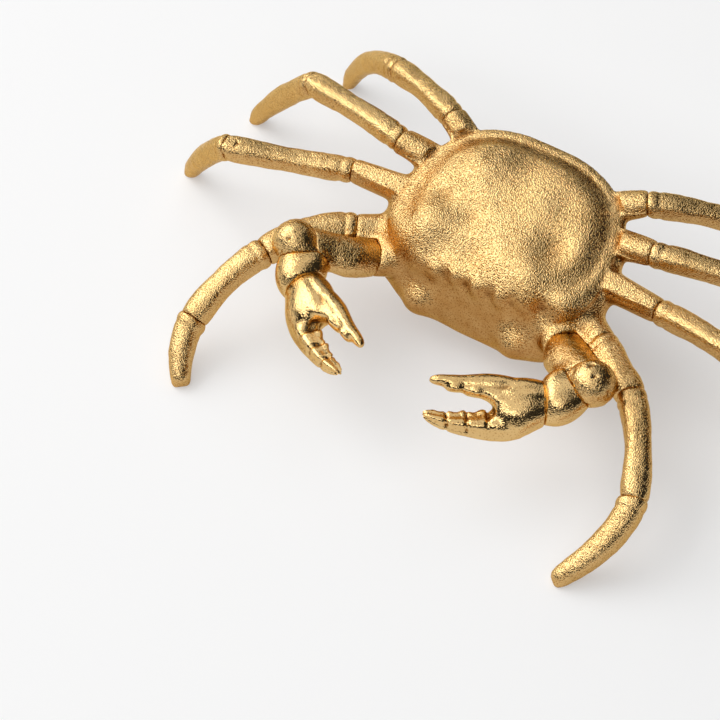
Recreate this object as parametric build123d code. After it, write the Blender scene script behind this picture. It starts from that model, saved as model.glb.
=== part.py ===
from build123d import *
import os
from math import cos, exp, pi, radians, sin

# A cast-metal crab ornament. The crab faces -Y, its left side is +X and +Z is up.
# The eight toes stand on Z = 0. All lengths are in millimetres.

# Body, laid out on a rim plane that leans forward, so the rear is the higher end
rim_height = 43.4
body_lean = 20.0
half_width = 38.4
half_length = 29.0
rim_middle = -9.0
dome_rise = 8.6
belly_depth = 21.0
carapace_wall = 3.0
underbody_wall = 4.5
rim_overhang = 0.75
front_notch = 1.0
rear_skew = 0.8

# Lip of the underbody that locates the carapace
lip_height = 1.8
lip_clearance = 0.15
rim_gap = 0.1
bore_draft = 0.005

# Brazed limb joints: a spigot on each section sits in a socket of the section before it
joint_gap = 0.1
spigot_radius = 1.9
spigot_length = 4.5
socket_clearance = 0.1
socket_relief = 0.3
spigot_root = 1.5

# Half thickness of the limbs
walking_leg = 4.4
front_leg = 4.9
claw_arm = 5.7
elbow_ball = 7.0
wrist_bulb = 7.4
leg_flatness = 0.85
section_points = 10

# Height of the toe ends: each toe is filed flat where it meets the floor
walking_toe_end = -0.7
front_toe_end = 0.95

# Relief: low lobes on the carapace, a flap under the belly and two knobs on the front face
lobe_height = 1.1
apron_length = 26.0
apron_width = 20.0
apron_inset = 3.0
apron_relief = 1.2
front_knob = 7.0
front_knob_middle = (18.0, -34.0, 17.0)

# Joints and bends of the left legs: body joint, bend, knee, bend, toe tip
second_leg_left = (
    (58.0, -13.4, 35.5),
    (78.0, -17.0, 39.5),
    (97.6, -22.5, 39.5),
    (114.0, -16.0, 24.0),
    (126.1, -8.5, walking_toe_end),
)
second_leg_right = (
    (58.0, -13.4, 35.5),
    (78.0, -21.0, 35.5),
    (97.6, -29.7, 38.3),
    (113.5, -22.5, 22.0),
    (126.1, -14.5, walking_toe_end),
)
third_leg = (
    (47.7, -0.5, 44.6),
    (68.0, 4.0, 45.0),
    (88.6, 8.3, 42.2),
    (107.5, 14.5, 23.0),
    (122.6, 19.8, walking_toe_end),
)
rear_leg = (
    (37.1, 14.3, 49.0),
    (54.0, 24.0, 47.0),
    (68.0, 30.0, 42.0),
    (90.5, 42.5, 32.0),
    (104.9, 53.6, walking_toe_end),
)

# The two front legs stand a little differently: body joint, bend, knee, bend, ankle, bend, toe tip
front_leg_left = (
    (47.0, -29.0, 28.0),
    (57.0, -37.0, 31.0),
    (65.9, -44.6, 30.0),
    (77.0, -56.0, 29.0),
    (83.9, -72.6, 19.9),
    (86.0, -85.0, 12.0),
    (72.6, -100.5, front_toe_end),
)
front_leg_right = (
    (47.0, -29.0, 28.0),
    (60.0, -36.5, 30.0),
    (67.3, -52.4, 25.0),
    (74.0, -65.0, 23.0),
    (76.4, -80.5, 13.2),
    (77.0, -90.0, 7.5),
    (69.3, -98.4, front_toe_end),
)

# Where the stubs of the underbody start inside the wall
stub_starts = {
    "front": (32.0, -19.0, 26.0),
    "second": (33.0, -12.0, 36.0),
    "third": (31.0, 0.0, 41.0),
    "rear": (24.0, 8.5, 44.0),
    "claw": (24.0, -25.0, 23.5),
}

# Left claw: shoulder, middle of the elbow ball, middle of the wrist bulb
shoulder = (35.6, -35.4, 24.6)
elbow = (55.6, -51.4, 35.6)
wrist = (49.6, -59.0, 30.0)
elbow_reach = 4.6

# Hand of the claw, drawn flat along its own length and then turned into place. Each row of the palm
# and fingers holds the place along the hand, the middle height, the half height and half thickness
hand_origin = (49.6, -57.7, 30.5)
hand_along = (-0.828, -0.560, 0.038)
hand_across = (-0.417, 0.660, 0.625)
palm = (
    (6.2, -2.4, 6.6, 5.6),
    (10.0, -2.3, 8.4, 6.2),
    (14.5, -2.9, 9.5, 6.4),
    (18.5, -3.0, 8.8, 5.5),
    (21.5, -3.0, 5.0, 3.4),
)
upper_finger = (
    (13.0, 1.4, 5.0, 4.4),
    (20.0, 2.9, 4.5, 3.9),
    (29.0, 4.3, 3.0, 3.1),
    (36.5, 5.0, 2.2, 2.4),
    (40.4, 5.3, 1.7, 1.8),
    (42.2, 5.4, 0.8, 0.8),
)
lower_finger = (
    (13.0, -7.6, 4.8, 4.4),
    (20.0, -8.6, 4.6, 4.0),
    (28.0, -8.6, 3.7, 3.4),
    (36.0, -7.7, 2.7, 2.6),
    (41.6, -6.1, 1.9, 1.9),
    (44.0, -5.2, 0.9, 0.9),
)

# Teeth of the fingers: place along the hand, height and radius
upper_teeth = ((24.4, 1.3, 1.8), (30.0, 2.5, 1.6), (36.0, 3.6, 1.4))
lower_teeth = ((25.4, -5.8, 2.2), (31.0, -6.0, 2.1), (36.4, -6.1, 1.9), (40.8, -5.3, 1.4))

# Outline of the rim from the front middle round to the rear middle, as parts of the half width and
# half length, then the share of the front notch and of the forward push of the jaw at that point
half_outline = (
    (0.0, -1.0, 0, 0),
    (0.145, -1.0, 1, 0),
    (0.30, -0.985, 0, 0.1),
    (0.445, -0.955, 1, 0.3),
    (0.61, -0.90, 0, 0.6),
    (0.83, -0.80, 0, 1),
    (0.97, -0.62, 0, 0.6),
    (1.0, -0.38, 0, 0.2),
    (0.975, 0.0, 0, 0),
    (0.92, 0.33, 0, 0),
    (0.80, 0.64, 0, 0),
    (0.60, 0.86, 0, 0),
    (0.32, 0.98, 0, 0),
    (0.0, 1.0, 0, 0),
)

# Low lobes and hollows of the carapace: place across and along the rim plane, radius, and share of the
# lobe height, which is negative in a hollow
lobes = (
    (-21.0, -25.0, 9.0, 1.0),
    (-14.0, 0.0, 10.0, 1.0),
    (14.0, 2.0, 9.0, 0.7),
    (16.0, -28.0, 9.0, 0.9),
    (-14.0, -14.0, 6.0, -0.6),
    (18.0, -17.0, 7.0, -0.7),
    (-4.0, -28.0, 6.0, -0.6),
)

lean = radians(body_lean)
rim_plane = Plane(origin=(0, 0, rim_height), x_dir=(1, 0, 0), z_dir=(0, -sin(lean), cos(lean)))


def lobe_rise(across, along):
    """Height that the lobes add to the carapace at a place on the rim plane."""
    rise = 0
    for middle_across, middle_along, radius, share in lobes:
        apart = ((across - middle_across) ** 2 + (along - middle_along) ** 2) / radius**2
        rise += share * lobe_height * exp(-apart)
    return rise


def rim_ring(level, across, along, shift=0.0, notch=0.0, jaw=0.0, lobe_share=0.0):
    """Closed outline parallel to the rim plane, scaled about the middle of the rim."""
    side = []
    for part_across, part_along, notch_share, jaw_share in half_outline:
        reach = part_along * half_length + notch_share * notch * front_notch
        x = part_across * half_width * across
        side.append((x, rim_middle + shift + reach * along - jaw * jaw_share))
    other = [(-x, y) for x, y in reversed(side[1:-1])]
    points = []
    for x, y in side + other:
        lean_right = rear_skew * (y - rim_middle) / half_length
        height = level + lobe_share * lobe_rise(x, y)
        points.append(rim_plane.from_local_coords((x - lean_right, y, height)))
    return Wire([Edge.make_spline(points, periodic=True)])


def facing(point, direction):
    """Plane across a limb: Z runs along the limb, X stays level, Y points upward."""
    along = Vector(direction).normalized()
    level = Vector(0, 0, 1).cross(along).normalized()
    return Plane(origin=Vector(point), x_dir=level, z_dir=along)


def oval(plane, wide, high, flatness=leg_flatness):
    """Section of a limb, rounded above and flatter below."""
    points = []
    for step in range(section_points):
        turn = 2 * pi * step / section_points
        rise = high * sin(turn)
        rise = rise if rise > 0 else rise * flatness
        points.append(plane.from_local_coords((wide * cos(turn), rise, 0)))
    return Wire([Edge.make_spline(points, periodic=True)])


def bend_point(start, bend, end, t):
    """Point and direction on the curved centre line from start to end, pulled toward bend."""
    start, bend, end = Vector(start), Vector(bend), Vector(end)
    point = start * (1 - t) ** 2 + bend * (2 * t * (1 - t)) + end * t**2
    return point, (bend - start) * (1 - t) + (end - bend) * t


def limb(start, bend, end, profile, half_thick, gap_in=joint_gap / 2, gap_out=joint_gap / 2):
    """Lofted limb section between two joint planes; profile holds (place, thickness) pairs."""
    sections = []
    for place, thick in profile:
        if place == 0:
            plane = start.offset(gap_in)
        elif place == 1:
            plane = end.offset(-gap_out)
        else:
            plane = facing(*bend_point(start.origin, bend, end.origin, place))
        sections.append(oval(plane, half_thick * thick, half_thick * thick))
    return Solid.make_loft(sections)


def spigot(joint):
    """Pin on the outer section, pointing back into the section before it."""
    base = joint.offset(-spigot_length)
    return Solid.make_cylinder(spigot_radius, spigot_length + spigot_root, base)


def socket(joint):
    """Blind hole that takes the pin of the next section."""
    depth = spigot_length + socket_relief
    return Solid.make_cylinder(spigot_radius + socket_clearance, depth + spigot_root, joint.offset(-depth))


def joint_between(before, point, after):
    """Joint plane square to the mean direction of two neighbouring centre lines."""
    inward = (Vector(point) - Vector(before)).normalized()
    outward = (Vector(after) - Vector(point)).normalized()
    return facing(point, inward + outward)


def half_way(first, second):
    """Point in the middle between two points."""
    return (Vector(first) + Vector(second)) * 0.5


def solid_of(shape):
    """The single solid of a shape."""
    return shape.solids()[0]


thigh_profile = ((0, 0.94), (0.11, 1.0), (0.40, 0.93), (0.70, 0.95), (0.89, 1.02), (1, 0.94))
toe_profile = ((0, 0.94), (0.11, 1.0), (0.35, 0.94), (0.62, 0.88), (0.85, 0.76), (0.96, 0.62), (1, 0.44))
stub_profile = ((0, 1.25), (0.5, 1.12), (0.85, 1.03), (1, 0.97))

pieces = {}
stubs = []
stub_joints = []


def on_side(point, side):
    """The point itself on the left side, or its mirror image on the right."""
    across, along, height = point
    return (across if side == "left" else -across, along, height)


def place_leg(name, points, start, half_thick):
    """Build the sections of one leg and keep its body stub for the underbody."""
    joints = [joint_between(start, points[0], points[1])]
    for knee in range(2, len(points) - 1, 2):
        joints.append(joint_between(points[knee - 1], points[knee], points[knee + 1]))
    tip = facing(points[-1], Vector(points[-1]) - Vector(points[-2]))
    root = facing(start, Vector(points[0]) - Vector(start))
    stubs.append(limb(root, half_way(start, points[0]), joints[0], stub_profile, half_thick))
    stub_joints.append(joints[0])
    section_names = ("thigh", "shin", "toe") if len(joints) == 3 else ("thigh", "toe")
    ends = joints[1:] + [tip]
    for order, section in enumerate(section_names):
        profile = toe_profile if section == "toe" else thigh_profile
        piece = limb(joints[order], points[2 * order + 1], ends[order], profile, half_thick)
        piece = piece + spigot(joints[order])
        if section == "toe":
            piece = split(piece, bisect_by=Plane.XY, keep=Keep.TOP)
        else:
            piece = piece - socket(ends[order])
        pieces[f"{name}_{section}"] = solid_of(piece)


for side in ("left", "right"):
    front = front_leg_left if side == "left" else front_leg_right
    second = second_leg_left if side == "left" else second_leg_right
    for name, points, thick in (
        ("front", front, front_leg),
        ("second", second, walking_leg),
        ("third", third_leg, walking_leg),
        ("rear", rear_leg, walking_leg),
    ):
        start = on_side(stub_starts[name], side)
        place_leg(f"{side}_{name}_leg", [on_side(p, side) for p in points], start, thick)

# Claw of the left side, then its mirror image
arm_way = (Vector(elbow) - Vector(shoulder)).normalized()
wrist_way = (Vector(wrist) - Vector(elbow)).normalized()
hand_plane = Plane(
    origin=Vector(hand_origin),
    x_dir=Vector(hand_along).normalized(),
    z_dir=Vector(hand_along).cross(Vector(hand_across)).normalized(),
)


def hand_section(station):
    """Oval section of the hand: place along it, middle height, half height and half thickness."""
    place, middle, half_high, half_thick = station
    plane = Plane(
        origin=hand_plane.from_local_coords((place, middle, 0)),
        x_dir=hand_plane.z_dir,
        z_dir=hand_plane.x_dir,
    )
    return oval(plane, half_thick, half_high, 1.0)


shoulder_joint = facing(shoulder, arm_way)
arm_end = facing(Vector(elbow) - arm_way * elbow_reach, arm_way)
elbow_end = facing(Vector(elbow) + wrist_way * elbow_reach, wrist_way)
fold = Plane(origin=Vector(elbow), z_dir=(arm_way + wrist_way) * -1)
hand_start = hand_plane.from_local_coords((palm[0][0], palm[0][1], 0))
hand_joint = facing(hand_start, hand_plane.x_dir)

arm_profile = ((0, 0.97), (0.15, 1.06), (0.50, 1.02), (0.80, 0.96), (1, 0.90))
arm = limb(shoulder_joint, half_way(shoulder, arm_end.origin), arm_end, arm_profile, claw_arm)
arm = arm + spigot(shoulder_joint) - socket(arm_end)
arm = split(arm, bisect_by=fold.offset(joint_gap / 2), keep=Keep.TOP)

ball = Solid.make_sphere(elbow_ball, Plane(origin=Vector(elbow)))
ball = split(ball, bisect_by=arm_end.offset(joint_gap / 2), keep=Keep.TOP)
ball = split(ball, bisect_by=elbow_end.offset(-joint_gap / 2), keep=Keep.BOTTOM)
ball = ball + spigot(arm_end) - socket(elbow_end)

wrist_profile = ((0, 0.70), (0.35, 0.96), (0.65, 1.03), (1, 0.86))
wrist_piece = limb(elbow_end, Vector(wrist), hand_joint, wrist_profile, wrist_bulb)
wrist_piece = split(wrist_piece, bisect_by=fold.offset(-joint_gap / 2), keep=Keep.BOTTOM)
wrist_piece = wrist_piece + spigot(elbow_end) - socket(hand_joint)

palm_face = (palm[0][0] + joint_gap / 2,) + palm[0][1:]
hand = Solid.make_loft([hand_section(s) for s in (palm_face,) + palm[1:]])
for finger in (upper_finger, lower_finger):
    hand = hand + Solid.make_loft([hand_section(s) for s in finger])
for place, height, radius in upper_teeth + lower_teeth:
    hand = hand + Solid.make_sphere(radius, Plane(origin=hand_plane.from_local_coords((place, height, 0))))
hand = hand + spigot(hand_joint)

for name, shape in (("arm", arm), ("elbow", ball), ("wrist", wrist_piece), ("hand", hand)):
    pieces[f"left_claw_{name}"] = solid_of(shape)
    pieces[f"right_claw_{name}"] = solid_of(mirror(shape, about=Plane.YZ))

claw_start = stub_starts["claw"]
claw_root = facing(claw_start, Vector(shoulder) - Vector(claw_start))
claw_stub = limb(claw_root, half_way(claw_start, shoulder), shoulder_joint, stub_profile, claw_arm)
claw_socket = socket(shoulder_joint)
stubs += [claw_stub, solid_of(mirror(claw_stub, about=Plane.YZ))]
sockets = [socket(joint) for joint in stub_joints]
sockets += [claw_socket, solid_of(mirror(claw_socket, about=Plane.YZ))]

# Carapace: domed and lobed shell; its smooth hollow follows the dome above a straight seat for the lip
dome_steps = (1.0, 0.98, 0.93, 0.84, 0.71, 0.55, 0.39, 0.23)
hollow_steps = dome_steps[2:]
crown_step = 0.07
bore = 1 - carapace_wall / half_width


def dome_ring(rise, step, scale, notch=0.0, lobe_share=0.0):
    """Ring of a dome: step runs from 1 at the rim to 0 at the crown."""
    level = rise * (1 - step**3) ** 0.5
    return rim_ring(level, scale * step, scale * step, notch=notch, lobe_share=lobe_share)


dome_wires = [dome_ring(dome_rise, step, 1, step**6, 1 - step**6) for step in dome_steps]
dome_wires.append(dome_ring(dome_rise + lobe_rise(0, rim_middle), crown_step, 1))
hollow_wires = [rim_ring(0, bore, bore), rim_ring(lip_height, bore - bore_draft, bore - bore_draft)]
hollow_wires += [dome_ring(dome_rise - carapace_wall, step, bore) for step in hollow_steps]
pieces["carapace"] = solid_of(Solid.make_loft(dome_wires) - Solid.make_loft(hollow_wires, ruled=True))

# Underbody: sheared cup with an upright front face; each step holds its depth, width, length,
# forward shift, share of the front notches and push of the jaw
rim_scale = 1 - rim_overhang / half_width
belly_steps = (
    (0.0, rim_scale, rim_scale, 0.0, 1.0, 0.0),
    (0.24, 1.07, 1.0, -2.6, 0.5, 1.0),
    (0.57, 1.01, 0.98, -6.6, 0.0, 3.0),
    (0.83, 0.86, 0.95, -9.6, 0.0, 3.0),
    (1.0, 0.70, 0.82, -9.0, 0.0, 2.0),
)


def belly_cup(depth, wall):
    """Closed cup below the rim, drawn in by the wall."""
    wires = []
    for part, across, along, shift, notch, jaw in belly_steps:
        narrow = across - wall / half_width
        short = along - wall / half_length
        wires.append(rim_ring(-rim_gap - part * depth, narrow, short, shift, notch, jaw))
    return Solid.make_loft(wires)


belly = belly_cup(belly_depth, 0.0)
for stub in stubs:
    belly = belly + stub
for side in (1, -1):
    knob_x, knob_y, knob_z = front_knob_middle
    belly = belly + Solid.make_sphere(front_knob, Plane(origin=(side * knob_x, knob_y, knob_z)))
apron_top = rim_plane.offset(-rim_gap - belly_depth + underbody_wall / 2)
apron_rear = rim_middle + belly_steps[-1][3] + belly_steps[-1][2] * half_length - apron_inset
apron_corners = [
    (side * width, apron_rear - reach)
    for side, width, reach in (
        (1, apron_width / 2, 0),
        (1, apron_width / 8, apron_length),
        (-1, apron_width / 8, apron_length),
        (-1, apron_width / 2, 0),
    )
]
apron = fillet(make_face(Polyline(*apron_corners, close=True)).vertices(), apron_width / 9)
belly = belly + extrude(apron_top * apron, -apron_relief - underbody_wall / 2)
rim_room = 1 + 2 * rim_gap / half_length
belly = belly - extrude(Face(rim_ring(-rim_gap, rim_room, rim_room)), 2 * half_length, dir=rim_plane.z_dir)
belly = belly - belly_cup(belly_depth - underbody_wall, underbody_wall)
for hole in sockets:
    belly = belly - hole

lip_out = bore - 2 * bore_draft - lip_clearance / half_length
lip_in = rim_scale - underbody_wall / half_length
lip = Solid.make_loft([rim_ring(level, lip_out, lip_out) for level in (-lip_height, lip_height - rim_gap)])
lip = lip - Solid.make_loft([rim_ring(level, lip_in, lip_in) for level in (-2 * lip_height, 2 * lip_height)])
pieces["underbody"] = solid_of(belly + lip)

# The origin sits under the middle of the whole crab
box = Compound(list(pieces.values())).bounding_box()
centre = Pos(0, -(box.min.Y + box.max.Y) / 2, 0)

os.makedirs("parts", exist_ok=True)
for name, shape in pieces.items():
    export_step(centre * shape, f"parts/{name}.step")
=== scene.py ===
import math

import bpy
import numpy as np
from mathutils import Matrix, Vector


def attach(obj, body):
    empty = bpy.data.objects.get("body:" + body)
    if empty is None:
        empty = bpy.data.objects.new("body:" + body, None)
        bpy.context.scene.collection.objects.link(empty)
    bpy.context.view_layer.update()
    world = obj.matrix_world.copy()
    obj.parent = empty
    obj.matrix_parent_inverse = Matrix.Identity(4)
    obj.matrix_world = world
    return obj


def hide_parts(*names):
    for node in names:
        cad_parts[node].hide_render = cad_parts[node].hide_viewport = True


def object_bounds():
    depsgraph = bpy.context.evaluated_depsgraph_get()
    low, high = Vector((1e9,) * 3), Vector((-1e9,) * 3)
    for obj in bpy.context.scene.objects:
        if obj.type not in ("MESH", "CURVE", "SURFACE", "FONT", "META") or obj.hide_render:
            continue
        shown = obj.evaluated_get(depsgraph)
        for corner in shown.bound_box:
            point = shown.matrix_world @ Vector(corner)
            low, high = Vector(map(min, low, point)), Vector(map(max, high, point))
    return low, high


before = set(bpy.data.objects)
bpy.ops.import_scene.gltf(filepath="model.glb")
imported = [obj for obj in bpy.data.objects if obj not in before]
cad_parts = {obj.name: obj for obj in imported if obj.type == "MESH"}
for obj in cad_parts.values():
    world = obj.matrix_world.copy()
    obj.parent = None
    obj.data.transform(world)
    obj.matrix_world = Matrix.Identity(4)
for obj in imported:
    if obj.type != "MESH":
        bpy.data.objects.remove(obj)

import openvdb
from mathutils import Vector

# Cast-metal crab. Shapes are worked out in millimetres and written to the meshes in metres.
cad_low, cad_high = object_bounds()
mm = 0.001

# Fineness of the skin: voxel size, and in voxels how far a field is known and how coarsely it is flooded
voxel = 0.47
field_band = 12
flood_step = 2

# How many spreads a blur takes in, and the angle past which an edge is shaded sharp
blur_reach = 2.6
sharp_angle = math.radians(40.0)

# Softening: rounded edges, and fillets that are wide at the roots and along the claws and fine further out
edge_soft = 0.5
wide_fillet = 3.0
fine_fillet = 0.9
fillet_reach = 4.0
fillet_fade = 0.5

# Sections of a limb from the body outward
section_order = ("thigh", "shin", "toe", "arm", "elbow", "wrist", "hand")

# Rim plane of the body: its lean and the middle of its front-to-back axis in the frame
rim_lean = math.radians(20.0)
rim_origin = np.array((0.0, 23.31, 43.4))
rim_across = np.array((1.0, 0.0, 0.0))
rim_along = np.array((0.0, math.cos(rim_lean), math.sin(rim_lean)))
rim_up = np.array((0.0, -math.sin(rim_lean), math.cos(rim_lean)))
upright = np.array((0.0, 0.0, 1.0))

# Carapace and underbody meet on the rim plane; the underbody reaches a little way up behind the carapace
seam_lap = 0.8
seam_step = 0.03

# Thin raised line along the sides of the carapace: height above the rim plane, radius, and where it fades
edge_line_level = 1.6
edge_line_radius = 0.55
edge_line_fade = -26.0

# Front of the body, worn rounder: where that starts and fades, how far it goes, and its distance from limbs
worn_start = -27.0
worn_fade = 2.0
worn_spread = 2.2
worn_clear = 4.0

# Relief of the carapace: place across and along the rim plane, height above it, radius and rise
front_lumps = (
    (-26.5, -31.5, 1.0, 3.4, 1.1),
    (-19.9, -36.0, 0.5, 3.2, 1.6),
    (-12.5, -37.0, 1.8, 2.6, 1.4),
    (-5.2, -36.0, 3.0, 2.6, 1.5),
    (3.1, -36.5, 3.0, 2.8, 1.6),
    (12.1, -36.3, 3.0, 3.0, 1.6),
    (19.5, -34.5, 3.0, 3.0, 1.4),
    (31.5, -29.5, 2.0, 3.5, 1.2),
    (-9.0, -36.8, 2.4, 1.8, -1.0),
    (-1.0, -37.0, 2.4, 1.8, -1.1),
    (7.6, -36.8, 2.6, 2.0, -1.1),
    (16.0, -35.8, 2.6, 2.0, -1.0),
    (25.5, -33.0, 2.2, 2.4, -1.1),
)
top_swellings = (
    (-22.5, -24.5, 7.0, 5.5, 2.0),
    (-15.5, -0.5, 8.5, 6.0, 1.8),
    (5.0, -16.0, 8.6, 8.0, 0.6),
    (17.8, -28.5, 7.5, 4.5, 1.4),
    (20.5, -13.7, 7.0, 4.2, -1.8),
    (15.6, 0.7, 8.5, 4.0, -1.1),
    (-4.4, 12.0, 6.8, 4.0, -1.1),
    (-13.2, -29.0, 6.9, 3.6, -1.2),
    (-21.9, -12.5, 7.4, 3.4, -1.3),
    (-9.0, -16.5, 8.5, 3.4, -0.8),
    (-3.9, -28.5, 6.5, 3.6, -1.1),
)

# Cove inside the raised line, placed by its share of the way from the middle of the rim to its edge
rim_half_width = 38.4
rim_half_length = 29.0
rim_middle = -9.0
rim_squareness = 2.5
cove_share = 0.885
cove_spread = 0.075
cove_depth = 2.4
cove_front = -24.0
cove_fade = 3.0
cove_reach = 1.2
cove_clear = 1.5

# Swellings of the left claw and of the front thigh beside it: place, radius and height
claw_swellings = (
    ((44.2, -30.5, 36.0), 3.5, 2.0),
    ((38.0, -24.0, 29.0), 5.0, 3.0),
    ((55.6, -28.1, 35.6), 8.0, 1.0),
)

# Limb joints: a fine line, with a soft groove along the claws, and a collar and a crease past it on the legs
line_depth = 0.08
line_spread = 0.35
groove_depth = 0.16
groove_spread = 2.4
collar_middle = 1.8
collar_spread = 0.9
collar_height = 0.24
crease_middle = 3.9
crease_spread = 0.5
crease_depth = 0.22

# Legs and fingers are faceted: depth of the flats, and where they start past the roots
leg_facet = 0.28
leg_facet_start = 3.5
finger_facet = 0.42
finger_facet_start = 16.0
facet_fade = 1.0

# Left hand of the claw: its origin, and the directions along it, across it and out of its plane
hand_origin = np.array((49.6, -34.39, 30.5))
hand_along = np.array((-0.828, -0.560, 0.038))
hand_across = np.array((-0.417, 0.660, 0.625))
hand_out = np.array((0.375, -0.502, 0.780))
hand_ways = (hand_along, hand_across, hand_out)

# Lower finger: the ends of a bar that fills it out, each along, across and radius, and creases across it
finger_block_start = (21.0, -7.8, 2.5)
finger_block_end = (42.0, -6.0, 1.5)
finger_creases = (23.9, 30.4, 36.7)
finger_crease_depth = 0.9
finger_crease_spread = 0.42
finger_crease_low = -10.2
finger_crease_high = -3.6
finger_crease_fade = 0.7

# Upper finger: the ends of a groove, each along and across, and the scallops of its inner edge
finger_groove_start = (9.0, 2.7)
finger_groove_end = (40.0, 4.2)
finger_groove_depth = 0.5
finger_groove_spread = 0.8
finger_scallops = ((22.0, -0.4), (28.0, 1.2), (34.0, 2.6))
finger_scallop_height = 1.3
finger_scallop_length = 1.7
finger_scallop_width = 1.5

# Camera, fitted to the photograph
camera_aim = Vector((-17.57, -47.767, 20.0)) * mm
camera_azimuth = math.radians(33.43)
camera_elevation = math.radians(48.0)
camera_distance = 0.9
camera_lens = 140.85
camera_sensor = 36.0


def node_triangles(node):
    """Points, in millimetres, and triangles of a solid of the frame."""
    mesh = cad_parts[node].data
    mesh.calc_loop_triangles()
    points = np.empty(len(mesh.vertices) * 3, np.float32)
    mesh.vertices.foreach_get("co", points)
    corners = np.empty(len(mesh.loop_triangles) * 3, np.int32)
    mesh.loop_triangles.foreach_get("vertices", corners)
    return points.reshape(-1, 3) / mm, corners.reshape(-1, 3).astype(np.uint32)


def level_set(node):
    """Level set of a solid of the frame, with its lowest and highest grid points."""
    points, triangles = node_triangles(node)
    scale = openvdb.createLinearTransform(voxelSize=voxel)
    grid = openvdb.FloatGrid.createLevelSetFromPolygons(
        points.astype(np.float32), triangles=triangles, transform=scale, halfWidth=float(field_band)
    )
    low = np.floor(points.min(0) / voxel).astype(int) - field_band
    high = np.ceil(points.max(0) / voxel).astype(int) + field_band
    return grid, low, high


def field_of(nodes, low, shape):
    """Signed distance, in millimetres, to the nearest of some solids in a window of the grid."""
    nearest = None
    for node in nodes:
        field = np.empty(tuple(shape), np.float32)
        level_sets[node][0].copyToArray(field, ijk=tuple(int(i) for i in low))
        nearest = field if nearest is None else np.minimum(nearest, field)
    return nearest


def blurred(field, spread):
    """The field after a Gaussian blur whose spread is in millimetres."""
    spread = spread / voxel
    reach = int(math.ceil(blur_reach * spread))
    weights = np.exp(-0.5 * (np.arange(-reach, reach + 1) / spread) ** 2)
    weights /= weights.sum()
    for axis in range(3):
        pad = [(0, 0)] * 3
        pad[axis] = (reach, reach)
        wide = np.pad(field, pad, mode="edge")
        total = np.zeros_like(field)
        for shift, weight in enumerate(weights):
            cut = [slice(None)] * 3
            cut[axis] = slice(shift, shift + field.shape[axis])
            total += np.float32(weight) * wide[tuple(cut)]
        field = total
    return field


def grid_places(field, low):
    """X, Y and Z of the grid, in millimetres, ready to be combined."""
    axes = [(low[axis] + np.arange(field.shape[axis], dtype=np.float32)) * voxel for axis in range(3)]
    return axes[0][:, None, None], axes[1][None, :, None], axes[2][None, None, :]


def along_way(places, origin, way):
    """Distance of every grid point from an origin, measured along a direction."""
    return sum(np.float32(way[axis]) * (places[axis] - np.float32(origin[axis])) for axis in range(3))


def bell(distance, spread):
    """Bell curve that is one at distance zero."""
    return np.exp(-0.5 * (distance / np.float32(spread)) ** 2)


def step_up(distance, fade):
    """Soft step from zero to one where distance crosses zero."""
    return 0.5 + 0.5 * np.tanh(distance / np.float32(2 * fade))


def between(distance, start, end):
    """Share of the way from a start to an end, held at zero and one outside them."""
    return np.clip((distance - np.float32(start)) / np.float32(end - start), 0, 1)


def bump_at(places, middle, spread):
    """Round bell curve about a point."""
    return math.prod(bell(places[axis] - np.float32(middle[axis]), spread) for axis in range(3))


def facets(field, top, side):
    """Four-sided ripple about a limb: one on the faces that look up or sideways, minus one on the ridges."""
    slope = np.gradient(field)
    up = sum(np.float32(top[axis]) * slope[axis] for axis in range(3))
    if side is None:
        out = np.hypot(slope[0], slope[1])
    else:
        out = sum(np.float32(side[axis]) * slope[axis] for axis in range(3))
    return np.cos(4 * np.arctan2(up, out))


def rim_point(across, along, level):
    """Point given on the rim plane and by its height above it."""
    return rim_origin + across * rim_across + along * rim_along + level * rim_up


def swell_claw(field, places, side):
    """Add the swellings of the claw of one side to a field."""
    for middle, radius, height in claw_swellings:
        field -= np.float32(height) * bump_at(places, np.array(middle) * side, radius)


def closed_inside(field):
    """Grid points of the hollow that the body closes in, found by flooding the space from outside."""
    room = field[::flood_step, ::flood_step, ::flood_step] > voxel
    reached = np.zeros_like(room)
    reached[0] = room[0]
    while True:
        grown = reached.copy()
        for axis in range(3):
            ahead = [slice(None)] * 3
            behind = [slice(None)] * 3
            ahead[axis], behind[axis] = slice(1, None), slice(None, -1)
            grown[tuple(ahead)] |= reached[tuple(behind)]
            grown[tuple(behind)] |= reached[tuple(ahead)]
        grown &= room
        if (grown == reached).all():
            break
        reached = grown
    inside = room & ~reached
    for axis in range(3):
        inside = inside.repeat(flood_step, axis)
    return inside[: field.shape[0], : field.shape[1], : field.shape[2]]


def field_surface(field, low):
    """Points, triangles and quads of the surface where the field is zero."""
    grid = openvdb.FloatGrid(field_band * voxel)
    grid.copyFromArray(field, ijk=tuple(int(i) for i in low))
    grid.transform = openvdb.createLinearTransform(voxelSize=voxel)
    return grid.convertToPolygons(isovalue=0.0, adaptivity=0.0)


def solid_field(field, low):
    """Signed distance to the outer skin of a field whose hollow has been filled."""
    points, triangles, quads = field_surface(field, low)
    scale = openvdb.createLinearTransform(voxelSize=voxel)
    grid = openvdb.FloatGrid.createLevelSetFromPolygons(
        points, triangles=triangles, quads=quads, transform=scale, halfWidth=float(field_band)
    )
    solid = np.empty(field.shape, np.float32)
    grid.copyToArray(solid, ijk=tuple(int(i) for i in low))
    return solid


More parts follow.
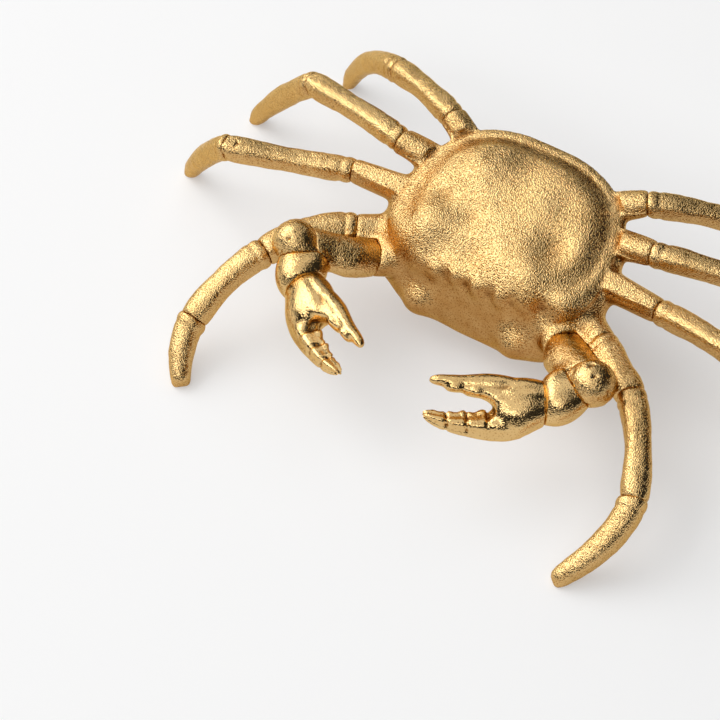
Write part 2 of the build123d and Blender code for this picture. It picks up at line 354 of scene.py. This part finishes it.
def field_mesh(name, field, low):
    """Mesh of the surface where the field is zero."""
    points, triangles, quads = field_surface(field, low)
    mesh = bpy.data.meshes.new(name)
    mesh.vertices.add(len(points))
    mesh.vertices.foreach_set("co", (points * mm).astype(np.float32).ravel())
    corners = np.concatenate([triangles.ravel(), quads.ravel()]).astype(np.int32)
    counts = np.concatenate([np.full(len(triangles), 3), np.full(len(quads), 4)]).astype(np.int32)
    mesh.loops.add(len(corners))
    mesh.loops.foreach_set("vertex_index", corners)
    mesh.polygons.add(len(counts))
    mesh.polygons.foreach_set("loop_start", np.concatenate([[0], np.cumsum(counts)[:-1]]).astype(np.int32))
    mesh.update(calc_edges=True)
    mesh.validate()
    mesh.polygons.foreach_set("use_smooth", np.ones(len(mesh.polygons), bool))
    mesh.set_sharp_from_angle(angle=sharp_angle)
    return mesh


def add_node(tree, kind, place):
    """New node at a place of the tree's drawing."""
    node = tree.nodes.new(kind)
    node.location = place
    return node


def grey(value):
    """Grey of a given brightness."""
    return (value, value, value, 1)


# Gold of the casting: its two tones, its colour at a glancing angle, and the tints that darken it, among
# them painted shade in its hollows and on its upright faces
deep_gold = (0.72, 0.475, 0.195, 1)
pale_gold = (0.78, 0.535, 0.235, 1)
glancing_gold = (0.95, 0.76, 0.45, 1)
# Painted shade in the hollows: brown, then near black in the deepest
hollow_shade_brown = (0.52, 0.40, 0.30, 1)
hollow_shade_dark = (0.16, 0.11, 0.07, 1)
pinhole_dark = (0.10, 0.06, 0.03, 1)
# Painted shade: brown on the upright and lower faces
painted_shade_brown = (0.60, 0.45, 0.32, 1)
grain_brown = (0.66, 0.53, 0.41, 1)
untinted = grey(1.0)

# Scale of each pattern of the gold, per metre, and its detail
grain_scale = 2400.0
grain_detail = 0.0
lump_scale = 500.0
lump_detail = 1.0
mottle_scale = 170.0
mottle_detail = 3.0
patch_scale = 75.0
patch_detail = 3.0
pore_scale = 200.0

# Stops on the value that drives each tint and the polish
tone_stops = [(0.30, deep_gold), (0.70, pale_gold)]
# Painted shade in the hollows, deeper as the hollow share grows
hollow_shade_stops = [(0.55, untinted), (0.75, hollow_shade_brown), (0.95, hollow_shade_dark)]
pinhole_stops = [(0.045, pinhole_dark), (0.075, untinted)]
mottle_stops = [(0.30, grey(0.72)), (0.70, grey(1.0))]
# Painted brown shade on the upright faces, growing with its share
shade_stops = [(0.0, untinted), (1.0, painted_shade_brown)]
speckle_stops = [(0.20, grain_brown), (0.34, untinted)]
polish_stops = [(0.30, grey(0.07)), (0.75, grey(0.14))]

# What raw grain adds to speckle and roughness, what the painted brown shade takes off the grain, and heights
# of the bumps
raw_speckle = 0.12
raw_roughness = 0.08
painted_shade_smoothing = 0.45
grain_height = 0.3
lump_height = 0.12

# Noises of the cast skin: what each adds to the seed, and its detail
swell_seed = 0.0
swell_detail = 1.0
dent_seed = 7.3
dent_detail = 2.0
pit_seed = 13.1
pit_detail = 0.0

# Pits of the cast skin: where they open on their noise, and the most that they count
pit_start = 0.36
pit_most = 0.12

# Hollows, which get painted shade: steps of the mean that they lie below, and the share of level ground
hollow_steps = 24
level_share = 0.5

# Upward part of the normal where the painted brown shade starts and where it is full
painted_shade_start = 0.72
painted_shade_full = 0.15


def calculate(tree, operation, *values):
    """Result of a calculation on sockets and plain numbers."""
    node = add_node(tree, "ShaderNodeMath", (-400, -200))
    node.operation = operation
    for socket, value in zip(node.inputs, values):
        if isinstance(value, float):
            socket.default_value = value
        else:
            tree.links.new(value, socket)
    return node.outputs["Value"]


def share_of(tree, name):
    """A share that the cast skin stored on the points of a piece."""
    node = add_node(tree, "ShaderNodeAttribute", (-1100, -400))
    node.attribute_name = name
    return node.outputs["Fac"]


def noise(tree, place, scale, detail):
    """Noise of a given scale and detail."""
    node = add_node(tree, "ShaderNodeTexNoise", (-850, 0))
    node.inputs["Scale"].default_value = scale
    node.inputs["Detail"].default_value = detail
    tree.links.new(place, node.inputs["Vector"])
    return node.outputs["Fac"]


def ramp(tree, source, stops):
    """Colour that runs through the stops as the source grows."""
    node = add_node(tree, "ShaderNodeValToRGB", (-550, 0))
    while len(node.color_ramp.elements) < len(stops):
        node.color_ramp.elements.new(0.5)
    for element, (position, colour) in zip(node.color_ramp.elements, stops):
        element.position = position
        element.color = colour
    tree.links.new(source, node.inputs["Fac"])
    return node.outputs["Color"]


def gold_colour(tree, place, grain, patches, shares):
    """Gold in two tones, darker with painted shade in its hollows, darker in its pinholes and grain, and
    browner with painted shade on its upright faces.
    """
    pores = add_node(tree, "ShaderNodeTexVoronoi", (-850, 300))
    pores.inputs["Scale"].default_value = pore_scale
    tree.links.new(place, pores.inputs["Vector"])
    # Strength of the painted shade on the upright faces, uneven in patches
    mottle = ramp(tree, noise(tree, place, mottle_scale, mottle_detail), mottle_stops)
    mottled_shade = calculate(tree, "MULTIPLY", shares["painted_shade_share"], mottle)
    sunk = calculate(tree, "MULTIPLY", shares["raw_share"], raw_speckle)
    bare = calculate(tree, "SUBTRACT", grain, sunk)
    # Tints in turn: painted shade in the hollows, dark pinholes, painted shade on the upright faces, and
    # brown in the low grain
    tints = (
        ramp(tree, shares["hollow_shade_share"], hollow_shade_stops),
        ramp(tree, pores.outputs["Distance"], pinhole_stops),
        ramp(tree, mottled_shade, shade_stops),
        ramp(tree, bare, speckle_stops),
    )
    colour = ramp(tree, patches, tone_stops)
    for tint in tints:
        stained = add_node(tree, "ShaderNodeMix", (100, 200))
        stained.data_type = "RGBA"
        stained.blend_type = "MULTIPLY"
        stained.inputs["Factor"].default_value = 1.0
        tree.links.new(colour, stained.inputs["A"])
        tree.links.new(tint, stained.inputs["B"])
        colour = stained.outputs["Result"]
    return colour


def gold_roughness(tree, patches, shares):
    """Roughness that is uneven over the patches of the polish and higher where the grain is raw."""
    polish = ramp(tree, patches, polish_stops)
    return calculate(tree, "MULTIPLY_ADD", shares["raw_share"], raw_roughness, polish)


def gold_bumps(tree, place, grain, shares):
    """Normals of the fine grain, which fades where the painted brown shade lies, and of the small lumps."""
    raw = shares["raw_share"]
    smoothed = calculate(tree, "MULTIPLY_ADD", shares["painted_shade_share"], -painted_shade_smoothing, 1.0)
    grained = calculate(tree, "MULTIPLY", calculate(tree, "MULTIPLY", grain, raw), smoothed)
    lumpy = calculate(tree, "MULTIPLY", noise(tree, place, lump_scale, lump_detail), raw)
    normal = None
    for source, height in ((grained, grain_height), (lumpy, lump_height)):
        bump = add_node(tree, "ShaderNodeBump", (100, -200))
        bump.inputs["Strength"].default_value = 1.0
        bump.inputs["Distance"].default_value = height * mm
        tree.links.new(source, bump.inputs["Height"])
        if normal:
            tree.links.new(normal, bump.inputs["Normal"])
        normal = bump.outputs["Normal"]
    return normal


def make_gold():
    """Sand-cast and polished gold: fine grain, pinholes, uneven polish, and painted shade in its hollows and
    on its upright faces.
    """
    gold = bpy.data.materials.new("cast_gold")
    gold.use_nodes = True
    tree = gold.node_tree
    tree.nodes.clear()
    output = add_node(tree, "ShaderNodeOutputMaterial", (900, 0))
    shader = add_node(tree, "ShaderNodeBsdfPrincipled", (600, 0))
    shader.inputs["Metallic"].default_value = 1.0
    shader.inputs["Specular Tint"].default_value = glancing_gold
    tree.links.new(shader.outputs["BSDF"], output.inputs["Surface"])
    place = add_node(tree, "ShaderNodeTexCoord", (-1100, 0)).outputs["Object"]
    shares = {name: share_of(tree, name) for name in ("raw_share", "hollow_shade_share", "painted_shade_share")}
    grain = noise(tree, place, grain_scale, grain_detail)
    patches = noise(tree, place, patch_scale, patch_detail)
    finish = {
        "Base Color": gold_colour(tree, place, grain, patches, shares),
        "Roughness": gold_roughness(tree, patches, shares),
        "Normal": gold_bumps(tree, place, grain, shares),
    }
    for socket, source in finish.items():
        tree.links.new(source, shader.inputs[socket])
    return gold


def new_skin_tree():
    """Tree of the cast skin with only its named inputs, and the nodes of its inputs and its output."""
    tree = bpy.data.node_groups.new("cast_skin", "GeometryNodeTree")
    face = tree.interface
    face.new_socket("Geometry", in_out="INPUT", socket_type="NodeSocketGeometry")
    for name in ("Swell Height", "Swell Size", "Dent Height", "Dent Size", "Pit Depth", "Pit Size"):
        face.new_socket(name, in_out="INPUT", socket_type="NodeSocketFloat")
    for name in ("Raw Share", "Painted Shade Share", "Seed"):
        face.new_socket(name, in_out="INPUT", socket_type="NodeSocketFloat")
    face.new_socket("Metal", in_out="INPUT", socket_type="NodeSocketMaterial")
    face.new_socket("Geometry", in_out="OUTPUT", socket_type="NodeSocketGeometry")
    given = add_node(tree, "NodeGroupInput", (-1200, 0))
    result = add_node(tree, "NodeGroupOutput", (1200, 0))
    return tree, given, result


def skin_noise(tree, given, size, seed, detail):
    """Noise whose feature size is an input of the cast skin."""
    node = add_node(tree, "ShaderNodeTexNoise", (-700, 0))
    node.noise_dimensions = "4D"
    node.inputs["Detail"].default_value = detail
    tree.links.new(calculate(tree, "DIVIDE", 1.0, given.outputs[size]), node.inputs["Scale"])
    tree.links.new(calculate(tree, "ADD", given.outputs["Seed"], seed), node.inputs["W"])
    return node.outputs["Fac"]


def uneven(tree, given, kind, seed, detail):
    """Rise and fall about zero, with the height and size that the inputs give for its kind."""
    middle = calculate(tree, "SUBTRACT", skin_noise(tree, given, kind + " Size", seed, detail), 0.5)
    return calculate(tree, "MULTIPLY", middle, given.outputs[kind + " Height"])


def pits(tree, given):
    """Depth of the pits, which open where their noise is low."""
    depth = calculate(tree, "SUBTRACT", pit_start, skin_noise(tree, given, "Pit Size", pit_seed, pit_detail))
    depth = calculate(tree, "MAXIMUM", calculate(tree, "MINIMUM", depth, pit_most), 0.0)
    return calculate(tree, "MULTIPLY", depth, given.outputs["Pit Depth"])


def hollow_shade_share(tree, normal):
    """Share that grows where a point lies below the mean of the points round it, for the painted shade in
    hollows.
    """
    spot = add_node(tree, "GeometryNodeInputPosition", (0, -300))
    mean = add_node(tree, "GeometryNodeBlurAttribute", (200, -300))
    mean.data_type = "FLOAT_VECTOR"
    mean.inputs["Iterations"].default_value = hollow_steps
    tree.links.new(spot.outputs["Position"], mean.inputs["Value"])
    apart = add_node(tree, "ShaderNodeVectorMath", (400, -300))
    apart.operation = "SUBTRACT"
    tree.links.new(mean.outputs["Value"], apart.inputs[0])
    tree.links.new(spot.outputs["Position"], apart.inputs[1])
    depth = add_node(tree, "ShaderNodeVectorMath", (600, -300))
    depth.operation = "DOT_PRODUCT"
    tree.links.new(apart.outputs["Vector"], depth.inputs[0])
    tree.links.new(normal, depth.inputs[1])
    return calculate(tree, "MULTIPLY_ADD", depth.outputs["Value"], 1 / mm, level_share)


def painted_shade_share(tree, given, normal):
    """Share of painted brown shade on the upright and lower faces."""
    parts = add_node(tree, "ShaderNodeSeparateXYZ", (0, -600))
    tree.links.new(normal, parts.inputs["Vector"])
    steep = add_node(tree, "ShaderNodeMapRange", (200, -600))
    steep.interpolation_type = "SMOOTHSTEP"
    steep.inputs["From Min"].default_value = painted_shade_start
    steep.inputs["From Max"].default_value = painted_shade_full
    steep.inputs["To Min"].default_value = 0.0
    steep.inputs["To Max"].default_value = 1.0
    tree.links.new(parts.outputs["Z"], steep.inputs["Value"])
    return calculate(tree, "MULTIPLY", steep.outputs["Result"], given.outputs["Painted Shade Share"])


def make_cast_skin():
    """Tree that gives a smooth piece the uneven skin of a casting and marks its hollows and upright faces
    for painted shade.
    """
    tree, given, result = new_skin_tree()
    link = tree.links.new
    normal = add_node(tree, "GeometryNodeInputNormal", (-400, 300)).outputs["Normal"]
    swell = uneven(tree, given, "Swell", swell_seed, swell_detail)
    dent = uneven(tree, given, "Dent", dent_seed, dent_detail)
    rise = calculate(tree, "SUBTRACT", calculate(tree, "ADD", swell, dent), pits(tree, given))
    offset = add_node(tree, "ShaderNodeVectorMath", (0, 200))
    offset.operation = "SCALE"
    link(normal, offset.inputs[0])
    link(rise, offset.inputs["Scale"])
    marked = add_node(tree, "GeometryNodeSetPosition", (200, 0))
    link(given.outputs["Geometry"], marked.inputs["Geometry"])
    link(offset.outputs["Vector"], marked.inputs["Offset"])
    # Shares for the gold: raw grain, and the masks of the painted shade in the hollows and on the upright
    # faces
    shares = {
        "hollow_shade_share": hollow_shade_share(tree, normal),
        "raw_share": given.outputs["Raw Share"],
        "painted_shade_share": painted_shade_share(tree, given, normal),
    }
    for name, value in shares.items():
        store = add_node(tree, "GeometryNodeStoreNamedAttribute", (600, 0))
        store.data_type = "FLOAT"
        store.domain = "POINT"
        store.inputs["Name"].default_value = name
        link(value, store.inputs["Value"])
        link(marked.outputs["Geometry"], store.inputs["Geometry"])
        marked = store
    real = add_node(tree, "GeometryNodeRealizeInstances", (850, 0))
    dressed = add_node(tree, "GeometryNodeSetMaterial", (1000, 0))
    link(marked.outputs["Geometry"], real.inputs["Geometry"])
    link(real.outputs["Geometry"], dressed.inputs["Geometry"])
    link(given.outputs["Metal"], dressed.inputs["Material"])
    link(dressed.outputs["Geometry"], result.inputs["Geometry"])
    return tree


gold = make_gold()
cast_skin = make_cast_skin()

# Skins: how uneven each kind of piece is, in millimetres, how raw its grain stayed, and how much painted
# brown shade its sides get
body_skin = {"Swell Height": 0.7, "Swell Size": 13.0, "Dent Height": 0.14, "Dent Size": 3.5}
limb_skin = {"Swell Height": 0.55, "Swell Size": 6.0, "Dent Height": 0.35, "Dent Size": 2.6}
claw_skin = {"Swell Height": 0.2, "Swell Size": 6.0, "Dent Height": 0.14, "Dent Size": 2.6}
skins = {
    "carapace": {**body_skin, "Raw Share": 1.0, "Painted Shade Share": 1.0},
    "underbody": {**body_skin, "Raw Share": 0.8, "Painted Shade Share": 1.0},
    "leg": {**limb_skin, "Raw Share": 0.75, "Painted Shade Share": 0.4},
    "arm": {**limb_skin, "Raw Share": 0.7, "Painted Shade Share": 0.3},
    "elbow": {**limb_skin, "Pit Depth": 5.0, "Pit Size": 2.8, "Raw Share": 0.6, "Painted Shade Share": 0.2},
    "wrist": {**claw_skin, "Raw Share": 0.4, "Painted Shade Share": 0.1},
    "hand": {**claw_skin, "Raw Share": 0.3, "Painted Shade Share": 0.1},
}
skin_defaults = {"Pit Depth": 0.0, "Pit Size": 3.0}
skin_seed = 3.0


def skin_kind(node):
    """Kind of skin that a node has."""
    for kind in skins:
        if kind in node:
            return kind
    return "leg"


def finish_piece(node, mesh):
    """Give a mesh its cast skin and put it in the scene in place of its solid."""
    blank = bpy.data.objects.new(node + "_blank", mesh)
    bpy.context.scene.collection.objects.link(blank)
    modifier = blank.modifiers.new("cast_skin", "NODES")
    modifier.node_group = cast_skin
    values = {**skin_defaults, **skins[skin_kind(node)]}
    for item in cast_skin.interface.items_tree:
        if item.in_out == "INPUT" and item.name in values:
            scale = 1.0 if item.name.endswith("Share") else mm
            modifier[item.identifier] = values[item.name] * scale
        elif item.name == "Seed":
            modifier[item.identifier] = skin_seed
        elif item.name == "Metal":
            modifier[item.identifier] = gold
    evaluated = blank.evaluated_get(bpy.context.evaluated_depsgraph_get())
    skin = bpy.data.meshes.new_from_object(evaluated)
    bpy.data.objects.remove(blank)
    spots = np.empty(len(skin.vertices) * 3, np.float32)
    skin.vertices.foreach_get("co", spots)
    spots = np.clip(spots.reshape(-1, 3), np.float32(cad_low), np.float32(cad_high))
    skin.vertices.foreach_set("co", spots.ravel())
    skin.update()
    piece = bpy.data.objects.new(node + "_casting", skin)
    bpy.context.scene.collection.objects.link(piece)
    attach(piece, "root")
    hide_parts(node)
    return piece


def carapace_lumps(places):
    """Relief of the front edge and the top of the carapace, below zero where it swells."""
    relief = np.float32(0)
    for across, along, level, radius, height in front_lumps + top_swellings:
        relief = relief - height * bump_at(places, rim_point(across, along, level), radius)
    return relief


def cove_relief(places, shell, line):
    """Depth of the cove on the sides of the carapace, kept clear of the raised line."""
    along = along_way(places, rim_origin, rim_along)
    level = along_way(places, rim_origin, rim_up)
    across = np.abs(along_way(places, rim_origin, rim_across)) / rim_half_width
    outward = np.abs(along - rim_middle) / rim_half_length
    outward = (across**rim_squareness + outward**rim_squareness) ** (1 / rim_squareness)
    coved = step_up(along - cove_front, cove_fade) * step_up(cove_reach - shell, fillet_fade)
    coved = coved * step_up(level, fillet_fade) * (1 - bell(line, cove_clear))
    return cove_depth * coved * bell(outward - cove_share, cove_spread)


def body_pieces(roots):
    """Meshes of the carapace and the underbody: one smooth body, parted on the rim plane."""
    low = np.minimum(level_sets["carapace"][1], level_sets["underbody"][1])
    high = np.maximum(level_sets["carapace"][2], level_sets["underbody"][2])
    shape = high - low + 1
    body = field_of(("carapace", "underbody"), low, shape)
    body = solid_field(np.where(closed_inside(body), -np.abs(body) - voxel, body), low)
    shell = field_of(("carapace",), low, shape)
    limbs = field_of(roots, low, shape)
    places = grid_places(body, low)
    along = along_way(places, rim_origin, rim_along)
    level = along_way(places, rim_origin, rim_up)
    field = np.minimum(body, limbs)
    field = blurred(np.minimum(field, blurred(field, wide_fillet)), edge_soft)
    worn = step_up(worn_start - along, worn_fade) * step_up(limbs - worn_clear, fillet_fade)
    field += worn * (blurred(field, worn_spread) - field)
    relief = carapace_lumps(places)
    line = np.hypot(level - edge_line_level, blurred(body, edge_soft) + relief)
    relief += cove_relief(places, shell, line)
    line -= edge_line_radius * step_up(along - edge_line_fade, worn_fade)
    field = blurred(np.minimum(field + relief, line), edge_soft / 2)
    for side in sides.values():
        swell_claw(field, places, side)
    field += line_depth * bell(body - limbs, line_spread)
    field = np.maximum(field, (body - limbs) / 2)
    upper = np.maximum(field, -level)
    lower = np.maximum(field + seam_step, level - seam_lap)
    return field_mesh("carapace", upper, low), field_mesh("underbody", lower, low)


def hand_places(places, side):
    """Distances of every grid point along, across and out of the hand of one side."""
    return [along_way(places, hand_origin * side, way * side) for way in hand_ways]


def fill_finger(field, places, side):
    """Field with the round bar that fills out the lower finger."""
    along, across, out = hand_places(places, side)
    start_along, start_across, start_radius = finger_block_start
    end_along, end_across, end_radius = finger_block_end
    share = between(along, start_along, end_along)
    middle = start_across + share * (end_across - start_across)
    radius = start_radius + share * (end_radius - start_radius)
    ends = np.maximum(start_along - along, along - end_along)
    return np.minimum(field, np.maximum(np.hypot(across - middle, out) - radius, ends))


def carve_fingers(field, places, side):
    """Give the lower finger its flats and creases, and the upper finger its groove and scallops."""
    along, across, _ = hand_places(places, side)
    ridge = facets(blurred(field, fine_fillet), hand_across * side, hand_out * side)
    lower = step_up(finger_crease_high - across, finger_crease_fade)
    field -= finger_facet * step_up(along - finger_facet_start, facet_fade) * lower * ridge
    start_along, start_across = finger_groove_start
    end_along, end_across = finger_groove_end
    middle = start_across + between(along, start_along, end_along) * (end_across - start_across)
    grooved = step_up(along - start_along, facet_fade)
    grooved = grooved * step_up(end_along - along, facet_fade)
    field += finger_groove_depth * grooved * bell(across - middle, finger_groove_spread)
    lower = lower * step_up(across - finger_crease_low, finger_crease_fade)
    for crease in finger_creases:
        field += finger_crease_depth * lower * bell(along - crease, finger_crease_spread)
    for place, height in finger_scallops:
        rise = bell(along - place, finger_scallop_length) * bell(across - height, finger_scallop_width)
        field -= finger_scallop_height * rise


def limb_piece(limb, order):
    """Mesh of one section of a limb, smoothed together with its neighbours and parted at the joints."""
    node = limb[order]
    kind = skin_kind(node)
    _, low, high = level_sets[node]
    shape = high - low + 1
    root = ["underbody"] + root_mates.get(node, [])
    own = field_of((node,), low, shape)
    before = field_of((limb[order - 1] if order else "underbody",), low, shape)
    others = field_of(root + [other for other in limb if other != node], low, shape)
    places = grid_places(own, low)
    side = sides[node.split("_")[0]]
    field = np.minimum(own, others)
    if kind == "hand":
        field = fill_finger(field, places, side)
    wide = blurred(field, wide_fillet)
    if kind in ("leg", "hand"):
        near = before if kind == "hand" else field_of(root, low, shape)
        fine = blurred(field, fine_fillet)
        wide = fine + step_up(fillet_reach - near, fillet_fade) * (wide - fine)
    field = blurred(np.minimum(field, wide), edge_soft)
    field += line_depth * bell(own - others, line_spread)
    if kind == "leg":
        bare = step_up(field_of(root, low, shape) - leg_facet_start, facet_fade)
        field += leg_facet * bare * facets(blurred(field, fine_fillet), upright, None)
        field -= collar_height * bell(before - collar_middle, collar_spread)
        field += crease_depth * bell(before - crease_middle, crease_spread)
    elif kind != "arm":
        field += groove_depth * bell(own - others, groove_spread)
    if kind != "leg" or node in root_mates:
        swell_claw(field, places, side)
    if kind == "hand":
        carve_fingers(field, places, side)
    return field_mesh(node, np.maximum(field, (own - others) / 2), low)


# Right hand and swellings mirror the left; a claw's arm and the front thigh beside it share a web
sides = {"left": np.array((1.0, 1.0, 1.0)), "right": np.array((-1.0, 1.0, 1.0))}
root_mates = {}
for side in sides:
    root_mates[side + "_claw_arm"] = [side + "_front_leg_thigh"]
    root_mates[side + "_front_leg_thigh"] = [side + "_claw_arm"]
level_sets = {node: level_set(node) for node in sorted(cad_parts)}
limbs = {}
for node in level_sets:
    if node not in ("carapace", "underbody"):
        limbs.setdefault(node.rsplit("_", 1)[0], []).append(node)
for limb in limbs.values():
    limb.sort(key=lambda node: section_order.index(node.rsplit("_", 1)[1]))
carapace_mesh, underbody_mesh = body_pieces([limb[0] for limb in limbs.values()])
finish_piece("carapace", carapace_mesh)
finish_piece("underbody", underbody_mesh)
for limb in limbs.values():
    for order, node in enumerate(limb):
        finish_piece(node, limb_piece(limb, order))

# Floor: matt and pale, so that it keeps the shadows
floor_colour = grey(0.60)
floor_glow = grey(0.36)
floor_reach = 4.0
floor_turns = ((-1, -1), (1, -1), (1, 1), (-1, 1))


def make_pale_floor():
    """Matt paper that also glows for rays from the camera and for mirrored and bent ones."""
    paper = bpy.data.materials.new("pale_floor")
    paper.use_nodes = True
    tree = paper.node_tree
    tree.nodes.clear()
    out = add_node(tree, "ShaderNodeOutputMaterial", (600, 0))
    matt = add_node(tree, "ShaderNodeBsdfDiffuse", (0, 100))
    matt.inputs["Color"].default_value = floor_colour
    glow = add_node(tree, "ShaderNodeEmission", (0, -100))
    glow.inputs["Color"].default_value = floor_glow
    path = add_node(tree, "ShaderNodeLightPath", (-500, -200))
    seen = path.outputs["Is Camera Ray"]
    for ray in ("Is Glossy Ray", "Is Transmission Ray"):
        seen = calculate(tree, "MAXIMUM", seen, path.outputs[ray])
    tree.links.new(seen, glow.inputs["Strength"])
    both = add_node(tree, "ShaderNodeAddShader", (300, 0))
    tree.links.new(matt.outputs[0], both.inputs[0])
    tree.links.new(glow.outputs[0], both.inputs[1])
    tree.links.new(both.outputs[0], out.inputs["Surface"])
    return paper


floor_mesh = bpy.data.meshes.new("floor")
floor_corners = [(x * floor_reach, y * floor_reach, 0) for x, y in floor_turns]
floor_mesh.from_pydata(floor_corners, [], [(0, 1, 2, 3)])
floor_mesh.materials.append(make_pale_floor())
floor = bpy.data.objects.new("floor", floor_mesh)
bpy.context.scene.collection.objects.link(floor)

# Light: a dim room with five panels, each with its name, place, direction, width, height and radiance
room_grey = grey(0.03)
panels = (
    ("left_bank", (-2.2, 0.55, 1.1), (1, 0, 0), 4.2, 1.2, 1.7),
    ("left_panel", (-1.78, -0.31, 1.87), (0.684, 0.12, -0.72), 2.4, 1.4, 2.8),
    ("overhead_panel", (-0.5, 1.0, 1.7), (0, 0, -1), 1.6, 2.6, 0.85),
    ("camera_side_panel", (0.0, -1.2, 1.7), (0, 0, -1), 2.7, 2.0, 0.9),
    ("front_panel", (0.0, -2.4, 1.9), (0, 1, 0), 4.4, 0.9, 2.5),
)
world = bpy.data.worlds.new("studio")
bpy.context.scene.world = world
world.use_nodes = True
world.node_tree.nodes["Background"].inputs["Color"].default_value = room_grey


def softbox(name, place, way, width, height, radiance):
    """Lamp of a given size and brightness that shines one way from its place."""
    lamp = bpy.data.lights.new(name, "AREA")
    lamp.shape = "RECTANGLE"
    lamp.size = width
    lamp.size_y = height
    lamp.energy = radiance * math.pi * width * height
    holder = bpy.data.objects.new(name, lamp)
    holder.location = place
    holder.rotation_mode = "QUATERNION"
    holder.rotation_quaternion = Vector(way).to_track_quat("-Z", "Y")
    bpy.context.scene.collection.objects.link(holder)


for panel in panels:
    softbox(*panel)

# Camera at the photograph's viewing angle
camera = bpy.data.cameras.new("camera")
camera.sensor_width = camera_sensor
camera.lens = camera_lens
back = Vector(
    (
        math.sin(camera_azimuth) * math.cos(camera_elevation),
        -math.cos(camera_azimuth) * math.cos(camera_elevation),
        math.sin(camera_elevation),
    )
)
viewer = bpy.data.objects.new("camera", camera)
viewer.location = camera_aim + back * camera_distance
viewer.rotation_mode = "QUATERNION"
viewer.rotation_quaternion = (-back).to_track_quat("-Z", "Y")
bpy.context.scene.collection.objects.link(viewer)
bpy.context.scene.camera = viewer
bpy.context.scene.view_settings.view_transform = "Standard"
